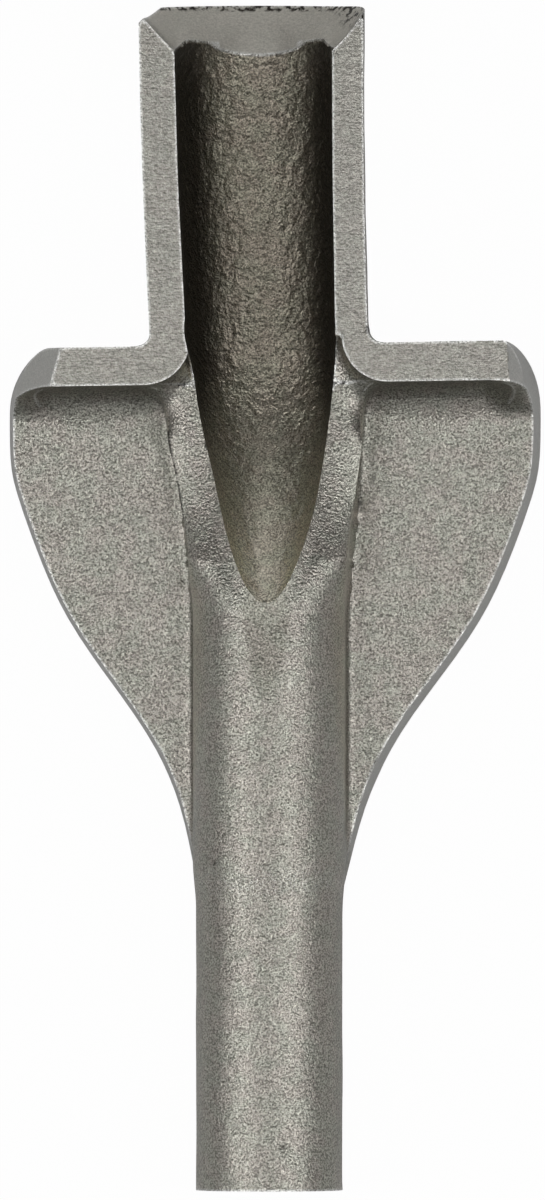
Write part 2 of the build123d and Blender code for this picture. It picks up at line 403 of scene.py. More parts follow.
# %% [markdown]
# ## The landing below the channel
#
# Below the channel's end the dies have left a small flat on the neck's crown. It could be
# cut with a boolean, but that would break up the even cells. It is made as a file would
# make it: all that stands above a sloping level is brought down to it.

# %% Landing
LANDING_START = 46.4 * MM
LANDING_END = 58.3 * MM
LANDING_RAMP = 8.0 * MM
LANDING_HALF_WIDTH = 2.7 * MM
LANDING_DEPTH = 0.42 * MM

landing_share = share_between(places[:, 1], LANDING_START, LANDING_START + LANDING_RAMP)
landing_level = NECK_RADIUS - LANDING_DEPTH * landing_share
on_landing = (places[:, 1] > LANDING_START) & (places[:, 1] < LANDING_END)
on_landing &= (np.abs(places[:, 0]) < LANDING_HALF_WIDTH) & (places[:, 2] > landing_level)
places[:, 2] = np.where(on_landing, landing_level, places[:, 2])
skin.data.vertices.foreach_set("co", places.ravel())
skin.data.update()
print("corners on the landing:", int(on_landing.sum()))

# %% [markdown]
# ## Zones of the surface
#
# Four kinds of surface meet on the chisel. Its rims are ground flat, its cutting edge is
# ground hollow from inside, the flash round its wings is trimmed in a press, and the rest,
# the channel included, is scale that shot has blasted. The zones could be painted, but
# each face is put into its zone by where it lies and which way it looks, so that the zones
# meet exactly on the creases. They are kept as attributes that the material can read.

# %% Faces and attributes
def store(name, domain, values):
    layer = skin.data.attributes.new(name, "FLOAT", domain)
    layer.data.foreach_set("value", np.ascontiguousarray(values, dtype=np.float32))


def read_vectors(collection, key):
    values = np.empty(3 * len(collection))
    collection.foreach_get(key, values)
    return values.reshape(-1, 3)


middle_x, middle_y, middle_z = read_vectors(skin.data.polygons, "center").T
face_x, face_y, face_z = read_vectors(skin.data.polygons, "normal").T
print("faces that look up:", int((face_z > 0).sum()))

# %% [markdown]
# The rims are level and lie at the rims' height. The right shoulder was ground over its
# bend too, so the steeper faces there belong to the same zone. The hollow bevel is what
# looks towards the cutting edge from inside.

# %% Ground rims and bevel
RIM_DEPTH = 0.15 * MM
RIM_FACING = 0.97
GROUND_START = 74.5 * MM
GROUND_CORNER = (20.2 * MM, 76 * MM, 2.2 * MM)
GROUND_CORNER_FACING = 0.5
BEVEL_RUN = 5.6 * MM
BEVEL_FACING = (0.25, 0.1)

ground = (face_z > RIM_FACING) & (np.abs(middle_z - RIM_LEVEL) < RIM_DEPTH)
ground &= middle_y > GROUND_START
corner_x, corner_y, corner_z = GROUND_CORNER
ground_corner = (middle_x > corner_x) & (middle_y > corner_y) & (middle_z > corner_z)
ground |= ground_corner & (face_z > GROUND_CORNER_FACING)
bevelled = (middle_y > TIP_STATION - BEVEL_RUN) & (face_y > BEVEL_FACING[0])
bevelled &= face_z > BEVEL_FACING[1]
store("ground", "FACE", ground)
store("bevelled", "FACE", bevelled)
print("ground faces:", int(ground.sum()), "bevelled faces:", int(bevelled.sum()))

# %% [markdown]
# The channel is what lies between its two edges and looks towards its middle. Near the
# middle the way a face looks says nothing, so there only its place counts.

# %% Channel
INWARD_FACING = 0.08
CHANNEL_FLOOR_SHARE = 0.6
CHANNEL_BOTTOM = -5 * MM
UNDERSIDE_FACING = -0.2
CHANNEL_ZONE_START = RUNOUT_END + MM

to_middle = channel_middle(middle_y) - middle_x
half_width = channel_half_width(middle_y)
in_channel = (np.abs(to_middle) < half_width) & (middle_y > CHANNEL_ZONE_START)
faces_inwards = np.sign(to_middle) * face_x > INWARD_FACING
in_channel &= faces_inwards | (np.abs(to_middle) < CHANNEL_FLOOR_SHARE * half_width)
in_channel &= (middle_z > CHANNEL_BOTTOM) & (face_z > UNDERSIDE_FACING)
in_channel &= ~ground & ~bevelled
store("channel", "FACE", in_channel)
print("channel faces:", int(in_channel.sum()))

# %% [markdown]
# The press shears the flash off the outer sides of the wings, and leaves them steep. The
# shoulder's corner is rounder on the left, so faces that look only a little outwards are
# taken in there too.

# %% Trimmed sides
OUTWARD_FACING_LEFT = 0.25
OUTWARD_FACING_RIGHT = 0.6
TRIMMED_TOP_FACING = 0.75
TRIMMED_END = SHOULDER_STATION + MM
WING_INSIDE = 12 * MM
LOWER_WING_END = 52 * MM
LOWER_WING_INSIDE = 7.6 * MM

outwards = np.sign(middle_x) * face_x
least_outwards = np.where(middle_x > 0, OUTWARD_FACING_RIGHT, OUTWARD_FACING_LEFT)
trimmed = (outwards > least_outwards) & (face_z < TRIMMED_TOP_FACING)
trimmed &= middle_y > WING_START
wing_side = (middle_y < TRIMMED_END) & (np.abs(middle_x) > WING_INSIDE)
lower_side = (middle_y < LOWER_WING_END) & (np.abs(middle_x) > LOWER_WING_INSIDE)
trimmed &= wing_side | lower_side
store("trimmed", "FACE", trimmed)
print("trimmed faces:", int(trimmed.sum()))

# %% [markdown]
# ## The forged relief
#
# The dies print their own wear on the steel. The whole skin is a little wavy, and the
# channel, where the punch went deepest, carries coarser lumps that run down its walls.
# Ground faces stay flat, and the relief fades towards every edge. Bump alone would leave
# the outline straight, so a noise, which is the same in each run, moves each corner along
# its normal and makes real shape.

# %% Relief
WAVE_LENGTH = 5.0 * MM
WAVE_HEIGHT = 0.05 * MM
LUMP_LENGTH = Vector((0.9, 1.5, 0.9)) * MM
LUMP_HEIGHT = 0.075 * MM
FINER_LUMPS = 2.1
LUMPS_ELSEWHERE = 0.12
EDGE_FADE = 0.8 * MM


def corner_share(face_zone):
    """Part of the faces round each corner that lie in a zone."""
    loop_corner = np.empty(len(skin.data.loops), dtype=np.int32)
    skin.data.loops.foreach_get("vertex_index", loop_corner)
    loop_count = np.empty(len(skin.data.polygons), dtype=np.int32)
    skin.data.polygons.foreach_get("loop_total", loop_count)
    loop_zone = np.repeat(face_zone.astype(float), loop_count)
    total = np.bincount(loop_corner, loop_zone, corner_count)
    return total / np.maximum(np.bincount(loop_corner, minlength=corner_count), 1)


ground_share = corner_share(ground)
channel_share = corner_share(in_channel)
bevel_share = corner_share(bevelled)
corner_normals = read_vectors(skin.data.vertices, "normal")
relief = np.empty(corner_count)
for index, place in enumerate(places):
    spot = Vector(place)
    wave = noise.noise(spot / WAVE_LENGTH)
    lump_spot = Vector(spot[axis] / LUMP_LENGTH[axis] for axis in range(3))
    lump = noise.noise(lump_spot) + noise.noise(lump_spot * FINER_LUMPS) / 2
    lump_share = LUMPS_ELSEWHERE + channel_share[index]
    relief[index] = WAVE_HEIGHT * wave + LUMP_HEIGHT * lump * lump_share
relief *= (1 - ground_share) * (1 - bevel_share) * np.clip(edge_distance / EDGE_FADE, 0, 1)
places += corner_normals * relief[:, None]
print("relief, mm:", round(relief.min() / MM, 3), "to", round(relief.max() / MM, 3))

# %% [markdown]
# ## Shoulders askew
#
# The two dies met a little askew, and the shoulders stand 0.9 degrees off square. Turning
# them would tear them from the trough. A slope across the wings that grows and dies out
# along the tool shears them by that much, and leaves both of the tool's ends as they are.

# %% Skew
SKEW = radians(0.9)
SKEW_IN = (66 * MM, 78 * MM)
SKEW_OUT = (82 * MM, 96 * MM)

askew = share_between(places[:, 1], *SKEW_IN) * (1 - share_between(places[:, 1], *SKEW_OUT))
shift = tan(SKEW) * places[:, 0] * askew
places[:, 1] += shift
print("shoulders moved by, mm:", round(shift.min() / MM, 2), "to", round(shift.max() / MM, 2))

# %% [markdown]
# ## The cutting edge as it was ground
#
# The cutting edge stands a little further out at its right end, and hollow grinding has
# rounded the channel's two upper corners. Both could be cut anew in the solid, but they are
# small, so they are shifts along the tool's axis that fade out to their sides.

# %% Tip
TIP_WARP_START = 109.5 * MM
TIP_WARP_END = 112.5 * MM
TIP_RISE = 0.27 * MM
RIGHT_START = 4.5 * MM
RIGHT_END = 8.8 * MM
RIGHT_RISE = 0.6 * MM
HUMP_STATION = 109.5 * MM
HUMP_LENGTH = 1.3 * MM
HUMP_BOTTOM = -4 * MM
HUMP_INSIDE = (3.8 * MM, 6.2 * MM)
HUMP_OUTSIDE = (6.6 * MM, 7.3 * MM)
HUMP_HEIGHT = 0.62 * MM

tip_share = share_between(places[:, 1], TIP_WARP_START, TIP_WARP_END)
right_share = share_between(places[:, 0], RIGHT_START, RIGHT_END)
places[:, 1] += tip_share * (TIP_RISE + RIGHT_RISE * right_share**2)
from_middle = np.abs(places[:, 0] - channel_middle(places[:, 1]))
hump = np.exp(-(((places[:, 1] - HUMP_STATION) / HUMP_LENGTH) ** 2))
hump *= places[:, 2] > HUMP_BOTTOM
hump *= share_between(from_middle, *HUMP_INSIDE)
hump *= 1 - share_between(from_middle, *HUMP_OUTSIDE)
places[:, 1] += HUMP_HEIGHT * hump
print("cutting edge at, mm:", round(places[:, 1].max() / MM, 2))

# %% [markdown]
# ## Single nicks
#
# Some nicks stand out on the real piece, and a noise wouldn't put them where they are. Each
# is given by its place as seen from above, its radius and its depth, and pushes the
# corners round it in along their normals. Only what looks up takes part, or a nick in a
# wing's edge would run down its whole side.

# %% Nicks
NICKS_MM = (
    (1.67, 4.2, 0.42, 0.16),
    (-5.0, 31.15, 0.35, 0.12),
    (-8.3, 58.0, 0.35, 0.12),
    (9.22, 53.8, 0.3, 0.1),
    (-22.8, 73.25, 0.35, 0.12),
    (8.6, 65.4, 0.45, 0.16),
    (10.3, 40.5, 0.7, 0.2),
    (13.3, 45.2, 0.55, 0.14),
)
NICK_FACING = 0.45

nick = np.zeros(corner_count)
for nick_x, nick_y, radius, nick_depth in NICKS_MM:
    gap_square = (places[:, 0] / MM - nick_x) ** 2 + (places[:, 1] / MM - nick_y) ** 2
    pressed = np.exp(-gap_square / radius**2) * (corner_normals[:, 2] > NICK_FACING)
    places -= corner_normals * (pressed * nick_depth * MM)[:, None]
    nick = np.maximum(nick, pressed)
# The material darkens the nicks by this share, as painted shade in their pits.
store("nick", "POINT", nick)
skin.data.vertices.foreach_set("co", places.ravel())
skin.data.update()
print("nicks:", len(NICKS_MM), "corners pressed in:", int((nick > 0.5).sum()))

# %% [markdown]
# ## Where shade falls and scale stays
#
# A sheltered place is painted darker: painted shade, as a hollow would lie in shadow, and
# dark scale, which stays where shot can't reach. An Ambient Occlusion node could find such
# places at each render, but a value on the skin itself goes along with the piece. Forty
# rays from each corner, spread by the golden angle over the directions that it faces, tell
# how much of its view is shut off. Ground faces get neither, however sheltered they are.

# %% Shelter
SHELTER_REACH = 14 * MM
SHELTER_RAYS = 40
SHELTER_START = 0.1 * MM
SHELTER_PASSES = 4
GOLDEN_ANGLE = pi * (3 - sqrt(5))

rises = (np.arange(SHELTER_RAYS) + 0.5) / SHELTER_RAYS
turns = np.arange(SHELTER_RAYS) * GOLDEN_ANGLE
ways = [
    Vector((sqrt(1 - rise**2) * cos(turn), sqrt(1 - rise**2) * sin(turn), rise))
    for rise, turn in zip(rises, turns)
]
skin_shape = bmesh.new()
skin_shape.from_mesh(skin.data)
skin_tree = bvhtree.BVHTree.FromBMesh(skin_shape)
skin_shape.free()


def shut_off(place, normal):
    start = place + normal * SHELTER_START
    hits = 0
    total = 0
    for way in ways:
        facing = way.dot(normal)
        ray = way if facing > 0 else -way
        total += abs(facing)
        if skin_tree.ray_cast(start, ray, SHELTER_REACH)[0] is not None:
            hits += abs(facing)
    return hits / total if total else 0


shelter = np.array([shut_off(corner.co, corner.normal) for corner in skin.data.vertices])
for _ in range(SHELTER_PASSES):
    shelter = (shelter + neighbour_mean(shelter[:, None])[:, 0]) / 2
shelter *= 1 - np.maximum(bevel_share, ground_share)
store("shelter", "POINT", shelter)
print("most sheltered:", round(float(shelter.max()), 2))

# %% [markdown]
# ## Depth and steepness of the channel
#
# Deep in the channel the steel is brown, with painted shade on it, and painted light makes
# it lighter where the channel runs out. Its steepest walls get the darkest painted shade.
# Two values on the skin hold this: how far up the channel a corner lies, and how steep the
# skin is there. A third one marks the landing, averaged once over the neighbours to soften
# its edge.

# %% Depth of the channel
DEPTH_START = 59 * MM
DEPTH_END = 79 * MM

depth = share_between(places[:, 1], DEPTH_START, DEPTH_END)
store("depth", "POINT", depth)
# Steepness drives the painted shade on the channel's walls.
store("steepness", "POINT", np.abs(corner_normals[:, 0]) * depth)
store("landing", "POINT", neighbour_mean(on_landing[:, None].astype(float))[:, 0])
print("corners at full depth:", int((depth == 1).sum()))

# %% [markdown]
# ## Bright edges and painted shade in the roots
#
# Handling brightens the edges that stand out, and a painted highlight along them stands for
# the light that their slight rounding would catch. A root, the line where two surfaces meet
# in a hollow, gets a thin line of painted shade. How near each crease is was measured
# before. Here a distance of one millimetre, in the unit that the material reads, switches
# either off where the real piece has none: the ridges' edges aren't worn, and the channel
# has no dark roots. The outer edge of the left ridge hangs over a little, so the painted
# shade of a root runs along it too.

# %% Edges and roots
FAR = 1.0
RIDGE_ZONE = (52 * MM, 76 * MM)
RIDGE_HALF_WIDTH = 12 * MM
FALL_LINE = (20.9 * MM, 79.5 * MM)
FALL_LINE_HALF = (0.7 * MM, 2.1 * MM)
OVERHANG_GAP = 1 * MM
ROOTLESS_GAP = 0.4 * MM
SADDLE_CORE = 0.2

across, station, height = places.T
on_ridges = (np.abs(across) < RIDGE_HALF_WIDTH) & (station > RIDGE_ZONE[0])
on_ridges &= station < RIDGE_ZONE[1]
on_fall_line = np.abs(across - FALL_LINE[0]) < FALL_LINE_HALF[0]
on_fall_line &= np.abs(station - FALL_LINE[1]) < FALL_LINE_HALF[1]
# This distance drives both the wear and the painted highlight on edges.
wear_and_highlight_distance = np.where(on_ridges | on_fall_line, FAR, edge_distance / MM)
store("edge_distance", "POINT", wear_and_highlight_distance)

from_left_edge = across - (channel_middle(station) - channel_half_width(station))
overhang = on_ridges & (from_left_edge < -OVERHANG_GAP)
dark_distance = np.where(overhang, np.minimum(root_distance, edge_distance), root_distance)
from_middle = np.abs(across - channel_middle(station))
rootless = from_middle < channel_half_width(station) + ROOTLESS_GAP
rootless &= (station > RUNOUT_END) & (height > CHANNEL_BOTTOM)
rootless |= saddle > SADDLE_CORE
store("root_distance", "POINT", np.where(rootless, FAR, dark_distance / MM))
print("corners without a dark root:", int(rootless.sum()))

# %% [markdown]
# ## Burr flakes and the neck's painted highlight
#
# A thin burr stands along the cutting edge and flakes off in dark crumbs, most of all at
# the right corner. Where the neck narrows to the bar, a faint bright ring is painted: some
# burnish from the dies, and a painted highlight where that slope would catch the light.
# Both are shares that fade with distance.

# %% Flakes and ring
FLAKE_WIDTH = 0.4 * MM
FLAKY_CORNER = 8.3 * MM
FLAKY_CORNER_REACH = 3.2 * MM
FLAKES_START = 108 * MM
RING_STATION = 29.4 * MM
RING_WIDTH = 1.1 * MM

from_tip = TIP_STATION - station
from_corner = np.hypot(np.maximum(from_tip, 0), np.maximum(FLAKY_CORNER - across, 0))
flaky = np.maximum(
    np.clip(1 - from_tip / FLAKE_WIDTH, 0, 1),
    np.clip(1 - from_corner / FLAKY_CORNER_REACH, 0, 1),
)
store("flaky", "POINT", flaky * (station > FLAKES_START))
neck_ring = np.exp(-(((station - RING_STATION) / RING_WIDTH) ** 2)) * (height > 0)
store("neck_ring", "POINT", neck_ring)
print("flaky corners:", int((flaky > 0).sum()))

# %% [markdown]
# ## Small helpers for the material
#
# A material made of nodes is a chain of small sums and blends. It could be wired by hand in
# the editor. Here each helper adds one step and gives back its output, so that the next
# cells read like a recipe. A Mix node keeps sockets for every kind of value, and for
# colours its share and its two inputs are the ones numbered below.

# %% Helpers for nodes
MIX_SOCKETS = (0, 6, 7)


def link(tree, source, socket):
    tree.links.new(source, socket)


def value_math(tree, operation, first, second):
    node = tree.nodes.new("ShaderNodeMath")
    node.operation = operation
    for socket, value in zip(node.inputs, (first, second)):
        if isinstance(value, (int, float)):
            socket.default_value = value
        else:
            link(tree, value, socket)
    return node.outputs[0]


def colour_mix(tree, share, first, second, blend_type="MIX"):
    node = tree.nodes.new("ShaderNodeMix")
    node.data_type = "RGBA"
    node.blend_type = blend_type
    for index, value in zip(MIX_SOCKETS, (share, first, second)):
        socket = node.inputs[index]
        if isinstance(value, (int, float)):
            socket.default_value = value
        elif isinstance(value, tuple):
            socket.default_value = (*value, 1)
        else:
            link(tree, value, socket)
    return node.outputs[2]


def remap(tree, value, low, high, new_low, new_high):
    node = tree.nodes.new("ShaderNodeMapRange")
    node.interpolation_type = "SMOOTHSTEP"
    link(tree, value, node.inputs["Value"])
    for socket, limit in zip(node.inputs[1:5], (low, high, new_low, new_high)):
        socket.default_value = limit
    return node.outputs[0]


def noise_value(tree, place, size, detail, stretch=(1, 1, 1)):
    mapping = tree.nodes.new("ShaderNodeMapping")
    mapping.inputs["Scale"].default_value = stretch
    link(tree, place, mapping.inputs["Vector"])
    node = tree.nodes.new("ShaderNodeTexNoise")
    node.inputs["Scale"].default_value = 1 / size
    node.inputs["Detail"].default_value = detail
    link(tree, mapping.outputs[0], node.inputs["Vector"])
    return node.outputs["Fac"]


print("helpers for nodes are ready")

# %% [markdown]
# ## Two kinds of grain
#
# Shot leaves a grey, sparkling grain on the scale, one or two tenths of a millimetre wide,
# over slower pebbles and lumps, with a faint red or green cast a few millimetres wide.
# Grinding leaves a finer grain that is drawn out in one direction. A photograph of steel
# would bring its own light along, so each kind is a group of noises. It takes a place and
# gives out values, and the material decides what they mean.

# %% Grain groups
GRAIN_SIZE = 0.175 * MM
SPARKLE_SIZE = 0.11 * MM
PEBBLE_SIZE = 0.42 * MM
CAST_SIZE = 2.2 * MM
LUMP_SIZE = 0.6 * MM
SCRATCH_SIZE = 0.16 * MM
SCRATCH_STRETCH = (0.35, 1.6, 1)
EVEN = (1, 1, 1)


def noise_group(name, noises):
    """A group whose outputs are noises, each with a size, a detail and a stretch."""
    tree = bpy.data.node_groups.new(name, "ShaderNodeTree")
    tree.interface.new_socket("Place", in_out="INPUT", socket_type="NodeSocketVector")
    for output_name in noises:
        tree.interface.new_socket(
            output_name, in_out="OUTPUT", socket_type="NodeSocketFloat"
        )
    place = tree.nodes.new("NodeGroupInput").outputs[0]
    group_out = tree.nodes.new("NodeGroupOutput")
    for output_name, (size, detail, stretch) in noises.items():
        value = noise_value(tree, place, size, detail, stretch)
        link(tree, value, group_out.inputs[output_name])
    return tree


blasted_group = noise_group("blasted grain", {
    "Grain": (GRAIN_SIZE, 2, EVEN),
    "Sparkle": (SPARKLE_SIZE, 1, EVEN),
    "Pebble": (PEBBLE_SIZE, 1, EVEN),
    "Cast": (CAST_SIZE, 3, EVEN),
    "Lumps": (LUMP_SIZE, 2, EVEN),
})
grinding_group = noise_group("grinding grain", {
    "Grain": (SCRATCH_SIZE, 2, SCRATCH_STRETCH),
})
print("grain groups:", blasted_group.name, "and", grinding_group.name)

# %% [markdown]
# ## Blasted scale
#
# The steel is one metal, so it is one material, and its colour changes by zone. A material
# for each zone would need its own copy of all the grain. It starts with the blasted scale,
# which covers most of the chisel: dark pits, light grains, a few sparkles painted in as
# glints and the slow cast. The steel gets its own helpers first: they read the values
# stored on the skin, place a group on the skin's own coordinates, and lay one colour over
# another.

# %% The steel and its helpers
steel = bpy.data.materials.new("forged_steel")
steel.use_nodes = True
tree = steel.node_tree
shader = tree.nodes["Principled BSDF"]


def attribute(name):
    node = tree.nodes.new("ShaderNodeAttribute")
    node.attribute_name = name
    return node.outputs["Fac"]


def use_group(group):
    node = tree.nodes.new("ShaderNodeGroup")
    node.node_tree = group
    link(tree, tree.nodes.new("ShaderNodeTexCoord").outputs["Object"], node.inputs[0])
    return node.outputs


def times(first, second):
    return value_math(tree, "MULTIPLY", first, second)


def plus(first, second):
    return value_math(tree, "ADD", first, second)


def cover(under, share, over):
    return colour_mix(tree, share, under, over)


def tinted(under, tint):
    return colour_mix(tree, 1, under, tint, "MULTIPLY")


print("material:", steel.name)

# %% [markdown]
# A row of four limits says between which values of a noise or an attribute a change
# happens, and from what share to what share. The grain goes from dark pits to light grains,
# the sparkle adds single bright points as painted glints, and the cast turns it a little
# red or green.

# %% Blasted scale
BLASTED_DARK = (0.165, 0.161, 0.144)
BLASTED_LIGHT = (0.69, 0.676, 0.617)
GRAIN_LIMITS = (0.3, 0.7, 0, 1)
SPARKLE_LIMITS = (0.6, 0.72, 0, 1)
CAST_LIMITS = (0.35, 0.65, 0, 1)
GRAIN_WEIGHT = 0.7
SPARKLE_WEIGHT = 0.35
REDDISH = (1.035, 0.99, 0.975)
GREENISH = (0.99, 1.005, 0.965)

blasted = use_group(blasted_group)
grain = remap(tree, blasted["Grain"], *GRAIN_LIMITS)
# The sparkle adds bright points to the colour as painted glints.
painted_glint = remap(tree, blasted["Sparkle"], *SPARKLE_LIMITS)
cast = remap(tree, blasted["Cast"], *CAST_LIMITS)
speckled = plus(times(grain, GRAIN_WEIGHT), times(painted_glint, SPARKLE_WEIGHT))
scale_colour = cover(BLASTED_DARK, speckled, BLASTED_LIGHT)
colour = tinted(scale_colour, cover(GREENISH, cast, REDDISH))
print("nodes for the scale:", len(tree.nodes))

# %% [markdown]
# ## Ground, bevelled and trimmed steel
#
# Grinding takes most of the scale off, but its deepest pits stay, so the ground colour
# covers the scale only in part. The bevel is smoother and lighter, and the press leaves the
# trimmed sides plain and a little bluish. Each layer is a blend by its zone's attribute.

# %% Bare steel
GROUND_DARK = (0.17, 0.165, 0.149)
GROUND_LIGHT = (0.49, 0.478, 0.436)
GROUND_SHARE = 0.6
TRIMMED_TONE = (0.56, 0.56, 0.54)
TRIMMED_SHARE = 0.7
BEVEL_TONE = (0.7, 0.675, 0.61)
BEVEL_SCRATCH = 0.8
BEVEL_SHARE = 0.7

ground_grain = remap(tree, use_group(grinding_group)["Grain"], *GRAIN_LIMITS)
ground_colour = cover(GROUND_DARK, ground_grain, GROUND_LIGHT)
colour = cover(colour, times(attribute("ground"), GROUND_SHARE), ground_colour)
colour = cover(colour, times(attribute("trimmed"), TRIMMED_SHARE), TRIMMED_TONE)
scratched_tone = tuple(BEVEL_SCRATCH * part for part in BEVEL_TONE)
bevel_colour = cover(BEVEL_TONE, ground_grain, scratched_tone)
colour = cover(colour, times(attribute("bevelled"), BEVEL_SHARE), bevel_colour)
print("nodes with the bare steel:", len(tree.nodes))

# %% [markdown]
# ## The channel's tone, with painted shade and light
#
# The scale in the channel is browner, and deep in the channel it is darkened further as
# painted shade. Where it runs out between the ridges it is brightened as painted light, and
# the smooth landing below it gets painted shade that makes it darker than the neck. A plain
# colour on top would hide the grain, so these are tints that multiply what is under them.
# The neck's ring is a painted highlight with some burnish, bright only where the grain's
# painted glints are.

# %% Channel, landing and ring
DEEP_CHANNEL_SCALE_AND_SHADE = (0.8, 0.76, 0.69)
RUNOUT_PAINTED_LIGHT = (1.65, 1.62, 1.5)
LANDING_PAINTED_SHADE = (0.82, 0.82, 0.8)
BRIGHT_WEAR_AND_HIGHLIGHT_TONE = (0.85, 0.85, 0.83)
RING_HIGHLIGHT_SHARE = 0.8

# Deep in the channel the brown scale is darkened further as painted shade, and in the run-out
# it is brightened as painted light.
channel_scale_and_painted_light = cover(RUNOUT_PAINTED_LIGHT, attribute("depth"), DEEP_CHANNEL_SCALE_AND_SHADE)
colour = cover(colour, attribute("channel"), tinted(colour, channel_scale_and_painted_light))
# The landing is darkened as painted shade.
colour = cover(colour, attribute("landing"), tinted(colour, LANDING_PAINTED_SHADE))
# The neck's ring is a painted highlight with some burnish, bright where the painted glints are.
ring_highlight_share = times(attribute("neck_ring"), painted_glint)
colour = cover(colour, times(ring_highlight_share, RING_HIGHLIGHT_SHARE), BRIGHT_WEAR_AND_HIGHLIGHT_TONE)
print("nodes with the channel:", len(tree.nodes))

# %% [markdown]
# ## Painted shade, scale, bright edges and flakes
#
# The last layers go on top of everything: dark brown where the skin is sheltered, which is
# painted shade and dark scale; painted shade where the channel's wall is steep; light metal
# on the edges, which is wear and a painted highlight; near black painted shade in the roots
# and the nicks, and near black on the burr's flakes. Wear and light are never even, so a
# noise breaks up the edges, roots and flakes.

# %% Wear, painted light and scale
SHADE_AND_SCALE_TONE = (0.03, 0.026, 0.021)
ROOT_SHADE_TONE = (0.02, 0.018, 0.016)
FLAKE_AND_NICK_SHADE_TONE = (0.035, 0.03, 0.025)
WALL_SHADE_LIMITS = (0.4, 0.86, 0, 0.88)
SHADE_AND_SCALE_LIMITS = (0.55, 0.95, 0, 0.68)
EDGE_LIMITS = (0.02, 0.3, 0.9, 0)
EDGE_BREAKS = (0.35, 0.6, 0.2, 1)
ROOT_LIMITS = (0.1, 0.5, 0.9, 0)
ROOT_BREAKS = (0.35, 0.6, 0.4, 1)
FLAKY_LIMITS = (0.15, 0.6, 0, 1)
FLAKE_BREAKS = (0.46, 0.6, 0, 1)
NICK_LIMITS = (0.45, 0.95, 0, 0.8)

# The channel's steep walls are darkened as painted shade.
painted_wall_shade = remap(tree, attribute("steepness"), *WALL_SHADE_LIMITS)
# Sheltered places are darkened: painted shade where a hollow would lie in shadow, with dark
# scale that shot can't reach.
shade_and_scale = remap(tree, attribute("shelter"), *SHADE_AND_SCALE_LIMITS)
painted_shade_and_scale = value_math(tree, "MAXIMUM", shade_and_scale, times(attribute("channel"), painted_wall_shade))
colour = cover(colour, painted_shade_and_scale, SHADE_AND_SCALE_TONE)
# Edges are brightened for wear and as a painted highlight.
edge_wear_and_highlight = remap(tree, attribute("edge_distance"), *EDGE_LIMITS)
edge_noise = remap(tree, blasted["Grain"], *EDGE_BREAKS)
colour = cover(colour, times(edge_wear_and_highlight, edge_noise), BRIGHT_WEAR_AND_HIGHLIGHT_TONE)
# Roots are darkened as painted shade.
root_painted_shade = remap(tree, attribute("root_distance"), *ROOT_LIMITS)
root_noise = remap(tree, blasted["Lumps"], *ROOT_BREAKS)
colour = cover(colour, times(root_painted_shade, root_noise), ROOT_SHADE_TONE)
flake_share = remap(tree, attribute("flaky"), *FLAKY_LIMITS)
flakes = remap(tree, blasted["Lumps"], *FLAKE_BREAKS)
colour = cover(colour, times(flake_share, flakes), FLAKE_AND_NICK_SHADE_TONE)
# Nicks are darkened as painted shade in their pits.
colour = cover(colour, remap(tree, attribute("nick"), *NICK_LIMITS), FLAKE_AND_NICK_SHADE_TONE)
link(tree, colour, shader.inputs["Base Color"])
print("nodes with the wear:", len(tree.nodes))

# %% [markdown]
# ## How the steel shines
#
# Blasted scale is a metal with a satin gloss. Sheltered places are duller, the channel and
# the ground faces a little more so, and the bevel most. The metallic value is the same all
# over, so it is set on the shader's own socket instead of by a node.

# %% Gloss
METALLIC = 0.88
SHELTER_START_DULL = 0.25
SHELTER_FULLY_DULL = 0.75
OPEN_ROUGHNESS = 0.28
SHELTERED_ROUGHNESS = 0.51
ADDED_ROUGHNESS = {"channel": 0.06, "ground": 0.06, "bevelled": 0.2}

shader.inputs["Metallic"].default_value = METALLIC
dull_limits = (SHELTER_START_DULL, SHELTER_FULLY_DULL, OPEN_ROUGHNESS, SHELTERED_ROUGHNESS)
roughness = remap(tree, attribute("shelter"), *dull_limits)
for zone_name, added in ADDED_ROUGHNESS.items():
    roughness = plus(roughness, times(attribute(zone_name), added))
link(tree, roughness, shader.inputs["Roughness"])
print("roughness from", OPEN_ROUGHNESS, "to", SHELTERED_ROUGHNESS)

# %% [markdown]
# ## Fine grain as bump
#
# Pits of a tenth of a millimetre are smaller than the mesh's cells, so they are bump. The
# same noise drives their height and their colour, and a pit is dark where it is deep. The
# bump is weaker where a tool has passed over the scale, and the channel has coarse lumps on
# top, which fade out with it.

# %% Bump
BUMP_STRENGTH = 0.79
BUMP_DISTANCE = 0.08 * MM
PEBBLE_SHARE = 0.85
LUMP_SHARE = 3.5
RUNOUT_LUMPS = 0.3
SMOOTHED = {"trimmed": 0.6, "landing": 0.4, "ground": 0.4, "bevelled": 0.6}

bump_share = 1
for zone_name, smoothing in SMOOTHED.items():
    flattened = times(attribute(zone_name), smoothing)
    bump_share = value_math(tree, "SUBTRACT", bump_share, flattened)
grain_height = plus(blasted["Grain"], times(blasted["Pebble"], PEBBLE_SHARE))
lump_share = times(remap(tree, attribute("depth"), 0, 1, RUNOUT_LUMPS, 1), attribute("channel"))
lump_height = times(times(blasted["Lumps"], lump_share), LUMP_SHARE)
bump = tree.nodes.new("ShaderNodeBump")
bump.inputs["Strength"].default_value = BUMP_STRENGTH
bump.inputs["Distance"].default_value = BUMP_DISTANCE
link(tree, plus(times(grain_height, bump_share), lump_height), bump.inputs["Height"])
link(tree, bump.outputs[0], shader.inputs["Normal"])
print("nodes in the steel:", len(tree.nodes))

# %% [markdown]
# ## The skin in place of the plain solid
#
# The skin now stands for the solid. Light breaks sharply on the real edges, so edges where
# the faces meet at a crease are marked sharp. Splitting the mesh there would look the same,
# but would cut it into loose shells.

